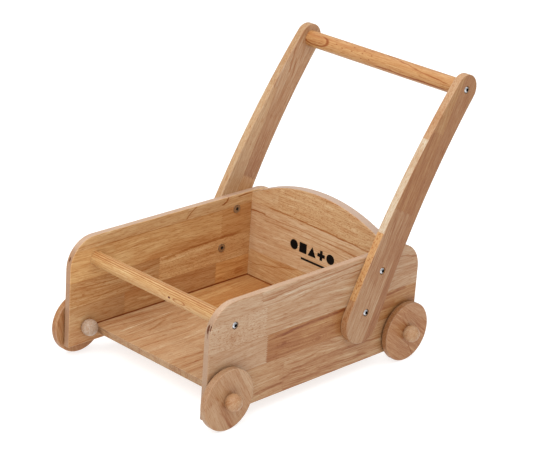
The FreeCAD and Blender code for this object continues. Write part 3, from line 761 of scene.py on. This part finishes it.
def wheel_woods():
    front_left = wheel_wood(
        "wheel_front_left",
        -60,
        [
            (-90, -18, [(-19, 54.0, 0.5, 0.2, 0.5, 0.2), (BEYOND, 55.0, 0.3, 0.2, 0.3, 0.2)]),
            (-18, 32, [(BEYOND, 56.0, 0.5, 0.2, 0.6, 0.2)]),
            (32, 90, [(BEYOND, 57.0, 0.1, 0.2, 0.3, 0.2)]),
        ],
    )
    front_left.streak((-12, -15), (50, -13), 8.0, 0.3, 0)
    front_left.streak((4, -19), (48, -15), 3.0, 0.35, 0)
    rear_left = wheel_wood(
        "wheel_rear_left",
        -35,
        [(-90, 29, [(BEYOND, 58.0, 0.95, 0.4, 1.0, 0.2)]), (29, 90, [(BEYOND, 59.0, 0.75, 0.1, 0.5, 0.2)])],
    )
    front_right = wheel_wood(
        "wheel_front_right",
        -75,
        [(-90, 8, [(BEYOND, 60.0, 1.05, 0.5, 0.7, 0.2)]), (8, 90, [(BEYOND, 61.0, 1.0, 0.5, 0.6, 0.2)])],
    )
    rear_right = wheel_wood(
        "wheel_rear_right",
        25,
        [
            (-90, -10, [(BEYOND, 62.0, 0.32, 0.12, 1.1, 0.2)]),
            (-10, 90, [(BEYOND, 63.0, 0.18, 0.15, 1.0, 0.2)]),
        ],
    )
    rear_left.streak((-30, 14), (6, 4), 2.4, 0.25)
    rear_left.streak((-34, 22), (4, 7), 1.8, 0.3)
    rear_left.streak((-38, -8), (-6, 0), 2.0, 0.2)
    rear_left.streak((12, -14), (38, -26), 1.4, 0.5)
    rear_left.streak((8, 20), (40, 16), 2.0, 0.3)
    woods = {
        "wheel_front_left": (front_left, 0.88, 0.1),
        "wheel_rear_left": (rear_left, 0.93, 0.0),
        "wheel_front_right": (front_right, 0.97, 0.0),
        "wheel_rear_right": (rear_right, 0.9, 0.2),
    }
    for node, (wood, tone, edge) in woods.items():
        # Painted shade: the wheels' edges are painted 14% darker than their faces, for the light that falls
        # more strongly on them from the front.
        rim_shade = tone * 0.86
        dress(node, wood.finish(0, (tone, tone, tone, 1), edge, (rim_shade, rim_shade, rim_shade, 1)))


def knob_wood(node, seed, density, hue, tint):
    """A turned knob, whose grain runs at a slant to its axis."""
    centre = centre_of(node)

    def axes(x, y, z):
        dz = z - centre.z
        return x * 0.6 + dz * 0.8, y - centre.y, dz * 0.6 - x * 0.8

    wood = Wood(node + "_wood", axes)
    wood.look = (seed, density, hue)
    wood.style = (0.45, 0.2, 1.0)
    return wood.finish(tint=tint)


def dowel_wood():
    wood = Wood("dowel_wood", lambda x, y, z: (x, y, z))
    wood.look = (77.0, 0.1, 0.1)
    wood.style = (0.5, 0.2, 1.0)
    return wood.finish()


# ---------------------------------------------------------------- metal and ink


def metal(name, colour, dark, roughness, sockets=()):
    """Plated steel: slightly uneven plating, fine scratches, duller where it has been handled.
    sockets are the (along, height) of hex sockets, whose insides get painted shade and a painted dark
    reflection, with a painted shadow ring round the edge of each head."""
    material, tree, _, point = blank_material(name)
    x, y, z = in_mm(point)
    patch = noise(tree, x * 0.5, y * 0.5, z * 0.5, 3.0)
    scratch = noise(tree, x * 2.0, y * 9.0, z * 1.3, 2.0)
    paint = mix(tree, patch.ramp(0.35, 0.75), colour, dark)
    for along, height in sockets:
        off_y = y - (FRONT + along)
        off_z = z - height
        radial = (off_y * off_y + off_z * off_z).math("SQRT")
        rear = off_y - SOCKET_SHADE
        shade = (rear * rear + off_z * off_z).math("SQRT")
        # Painted shade: each socket is painted near black inside, its shadow leaning to the rear, standing
        # in also for a dark reflection; a dark ring round the edge of each head is a painted shadow.
        painted_socket_shade = 1.0 - radial.least(shade).ramp(2.3, 2.9)
        rim_shade = radial.ramp(4.4, 5.1) * (1.0 - radial.ramp(5.4, 5.8))
        paint = mix(tree, painted_socket_shade.most(rim_shade * 0.75), paint, (0.02, 0.02, 0.022, 1))
    end_shader(tree, paint, roughness + patch * 0.12 + scratch * 0.08, scratch, 0.01 * MM, metallic=1.0)
    return material


def ink():
    material, tree, _, point = blank_material("printed_ink")
    x, y, z = in_mm(point)
    lightened = noise(tree, x * 0.05, y, z * 1.6, 3.0).ramp(0.55, 0.85)
    paint = mix(tree, lightened, (0.002, 0.002, 0.002, 1), (0.012, 0.009, 0.007, 1))
    end_shader(tree, paint, 0.6 + lightened * 0.2, lightened, 0.02 * MM, specular=0.1)
    return material


# ---------------------------------------------------------------- printed mark


def outline_disc(centre, radius, count=64):
    turns = [2 * math.pi * i / count for i in range(count)]
    return [(centre[0] + radius * math.cos(t), centre[1] + radius * math.sin(t)) for t in turns]


def printed_mark(material):
    """Five plain toy-block shapes and a line, printed in black on the front of the back panel."""
    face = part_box("back_panel")[0].y
    thick = 0.12 * MM
    size = 8.0
    row = 126.0
    first = -44.0
    pitch = 19.0
    square = [(-1, -1), (1, -1), (1, 1), (-1, 1)]
    triangle = [(-1.1, -1), (1.1, -1), (0, 1)]
    plus = [(-1, -0.35), (-0.35, -0.35), (-0.35, -1), (0.35, -1), (0.35, -0.35), (1, -0.35)]
    plus += [(-x, -y) for x, y in plus]
    shapes = []
    for i, kind in enumerate(("disc", "square", "triangle", "plus", "disc")):
        centre = (first + i * pitch, row)
        points = {"square": square, "triangle": triangle, "plus": plus}.get(kind)
        if points is None:
            shapes.append(outline_disc(centre, size))
        else:
            shapes.append([(centre[0] + size * px * 0.95, centre[1] + size * py) for px, py in points])
    shapes.append([(-28.0, 107.0), (30.0, 107.0), (30.0, 110.5), (-28.0, 110.5)])
    mesh = bmesh.new()
    for shape in shapes:
        near = [mesh.verts.new((x * MM, face - thick, z * MM)) for x, z in shape]
        far = [mesh.verts.new((x * MM, face, z * MM)) for x, z in shape]
        mesh.faces.new(near)
        mesh.faces.new(far[::-1])
        for i in range(len(shape)):
            j = (i + 1) % len(shape)
            mesh.faces.new((near[j], near[i], far[i], far[j]))
    bmesh.ops.recalc_face_normals(mesh, faces=mesh.faces)
    piece = add_piece("printed_mark", mesh, material)
    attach(piece, "chassis")
    return piece


def add_piece(name, mesh, material):
    data = bpy.data.meshes.new(name)
    mesh.to_mesh(data)
    mesh.free()
    data.materials.append(material)
    piece = bpy.data.objects.new(name, data)
    bpy.context.scene.collection.objects.link(piece)
    return piece


# ---------------------------------------------------------------- studio


def studio():
    world = bpy.data.worlds.new("studio")
    bpy.context.scene.world = world
    world.use_nodes = True
    world.node_tree.nodes["Background"].inputs[0].default_value = (1.0, 1.0, 1.0, 1)
    world.node_tree.nodes["Background"].inputs[1].default_value = 0.65
    centre = Vector((0, 0, 0.2))
    softbox("overhead", (0.0, 0.2, 3.0), centre, 4.5, 74.0)
    softbox("front_high", (0.2, -2.2, 2.4), centre, 1.6, 40.0)
    softbox("key", (1.6, -1.8, 2.0), centre, 1.6, 13.0)


def softbox(name, place, target, size, power):
    light = bpy.data.lights.new(name, "AREA")
    light.shape = "SQUARE"
    light.size = size
    light.energy = power
    lamp = bpy.data.objects.new(name, light)
    lamp.location = place
    lamp.rotation_mode = "QUATERNION"
    lamp.rotation_quaternion = (Vector(target) - Vector(place)).to_track_quat("-Z", "Y")
    bpy.context.scene.collection.objects.link(lamp)


def floor_sheet():
    material, tree, _, (x, y, z) = blank_material("studio_floor")
    grain = noise(tree, x * 40, y * 40, z, 2.0)
    paint = mix(tree, grain, (0.42, 0.42, 0.418, 1), (0.45, 0.45, 0.448, 1))
    shader = end_shader(tree, paint, 0.6, grain, 0.02 * MM, specular=0.2)
    shader.inputs["Emission Color"].default_value = (1, 1, 1, 1)
    shader.inputs["Emission Strength"].default_value = 0.72
    mesh = bmesh.new()
    half = 15.0
    corners = ((-half, -half), (half, -half), (half, half), (-half, half))
    mesh.faces.new([mesh.verts.new((x, y, -FLOOR_DROP)) for x, y in corners])
    floor = add_piece("studio_floor", mesh, material)


def camera():
    """Seen from the front left of the truck, from above, with a slight roll."""
    azimuth = math.radians(43.74)
    elevation = math.radians(21.59)
    roll = math.radians(3.93)
    distance = 2.77839
    target = Vector((0, 0.00772, 0.19001))
    back = Vector(
        (
            math.sin(azimuth) * math.cos(elevation),
            -math.cos(azimuth) * math.cos(elevation),
            math.sin(elevation),
        )
    )
    right = Vector((math.cos(azimuth), math.sin(azimuth), 0))
    up = back.cross(right)
    rolled_right = right * math.cos(roll) + up * math.sin(roll)
    rolled_up = up * math.cos(roll) - right * math.sin(roll)
    data = bpy.data.cameras.new("camera")
    data.sensor_width = 36.0
    data.lens = 128.83
    eye = bpy.data.objects.new("camera", data)
    turn = Matrix((rolled_right, rolled_up, back)).transposed()
    eye.matrix_world = Matrix.Translation(target + back * distance) @ turn.to_4x4()
    bpy.context.scene.collection.objects.link(eye)
    bpy.context.scene.camera = eye
    bpy.context.scene.view_settings.view_transform = "Standard"


# ---------------------------------------------------------------- the truck


def dress_truck():
    dress("side_panel_left", side_left_wood())
    dress("side_panel_right", side_right_wood())
    dress("back_panel", back_wood())
    dress("floor_panel", floor_wood())
    dress("handle_arm_left", arm_left_wood())
    dress("handle_arm_right", arm_right_wood())
    dress("front_rail", rail_wood())
    dress("handle_bar", bar_wood())
    wheel_woods()
    dowels = dowel_wood()
    for i, corner in enumerate(("front_left", "front_right", "rear_left", "rear_right")):
        outer = "outer_knob_" + corner
        inner = "inner_knob_" + corner
        density = 0.25 if corner == "rear_left" else 0.45
        dress(outer, knob_wood(outer, 64.0 + i, density, 0.1, (0.87, 0.87, 0.86, 1)))
        dress(inner, knob_wood(inner, 70.0 + i, -0.3, 0.0, (0.69, 0.7, 0.76, 1)))
        dress("axle_dowel_" + corner, dowels)
    for node in ("floor_side_dowels", "back_panel_dowels", "floor_back_dowels"):
        dress(node, dowels)
    zinc = metal("zinc_plate", (0.6, 0.61, 0.63, 1), (0.42, 0.43, 0.45, 1), 0.2, BOLTS)
    nickel = metal("dark_nickel", (0.5, 0.44, 0.37, 1), (0.3, 0.25, 0.2, 1), 0.25)
    brass = metal("plain_brass", (0.72, 0.56, 0.28, 1), (0.55, 0.42, 0.2, 1), 0.3)
    for node in ("rail_bolts", "handle_bar_bolts", "arm_bolts_left", "arm_bolts_right"):
        dress(node, zinc)
    for node in ("sleeve_nuts_left", "sleeve_nuts_right"):
        dress(node, nickel)
    for node in ("rail_inserts", "handle_bar_inserts"):
        dress(node, brass)


dress_truck()
printed_mark(ink())
floor_sheet()
studio()
camera()
